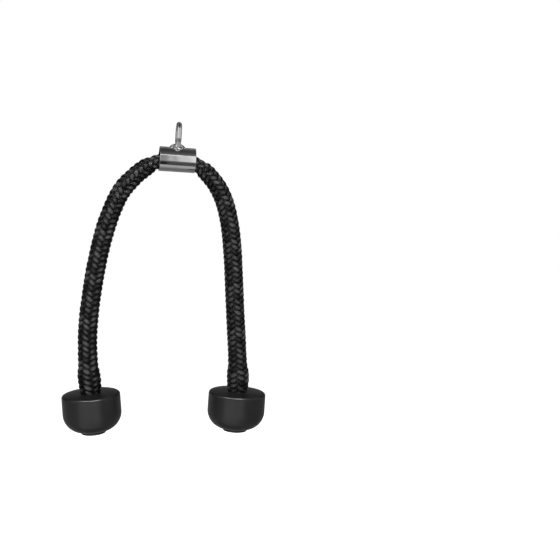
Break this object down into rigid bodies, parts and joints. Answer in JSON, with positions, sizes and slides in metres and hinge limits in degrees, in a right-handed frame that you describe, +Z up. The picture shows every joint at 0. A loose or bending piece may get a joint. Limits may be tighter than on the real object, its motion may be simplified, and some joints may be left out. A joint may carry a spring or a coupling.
{
  "type": "triceps rope attachment",
  "caption": "Thick braided rope hung in a steel sleeve with a welded link for a carabiner, and a domed rubber stopper on each end.",
  "frame": {"origin": "inside top of the eye, where a carabiner bears", "axes": "+Z up, from the hanging rope to the eye; X along the sleeve; Y across the eye's link"},
  "size_m": [0.2867, 0.0816, 0.4412],
  "materials": {
    "chrome": "bright chrome plate",
    "weld": "plated weld bead",
    "braid": "black braided synthetic rope",
    "stopper_rubber": "satin moulded rubber",
    "pressed_steel": "pressed sheet steel"
  },
  "bodies": {
    "sleeve": {"sleeve_tube": "chrome", "eye_loop": "chrome", "eye_weld_front": "weld", "eye_weld_rear": "weld", "rope_in_sleeve": "braid"},
    "left_bend": {"left_rope_bend": "braid"},
    "left_leg": {"left_rope_leg": "braid", "left_stopper": "stopper_rubber", "left_end_cup": "pressed_steel", "left_seat_washer": "pressed_steel"},
    "right_bend": {"right_rope_bend": "braid"},
    "right_leg": {"right_rope_leg": "braid", "right_stopper": "stopper_rubber", "right_end_cup": "pressed_steel", "right_seat_washer": "pressed_steel"}
  },
  "joints": [
    {"name": "left_swing", "type": "hinge", "parent": "sleeve", "child": "left_bend", "pos_m": [-0.015, 0, -0.0446], "axis": [1, 0, 0], "range_deg": [-45, 45]},
    {"name": "left_spread", "type": "hinge", "parent": "left_bend", "child": "left_leg", "pos_m": [-0.06043, 0, -0.07505], "axis": [0, 1, 0], "range_deg": [-10, 60], "stiffness_Nm_per_rad": 1, "springref_deg": 7.62, "deforming": ["left_rope_bend"]},
    {"name": "right_swing", "type": "hinge", "parent": "sleeve", "child": "right_bend", "pos_m": [0.015, 0, -0.0446], "axis": [1, 0, 0], "range_deg": [-45, 45]},
    {"name": "right_spread", "type": "hinge", "parent": "right_bend", "child": "right_leg", "pos_m": [0.05807, 0, -0.07809], "axis": [0, -1, 0], "range_deg": [-10, 60], "stiffness_Nm_per_rad": 1, "springref_deg": 8.94, "deforming": ["right_rope_bend"]}
  ]
}
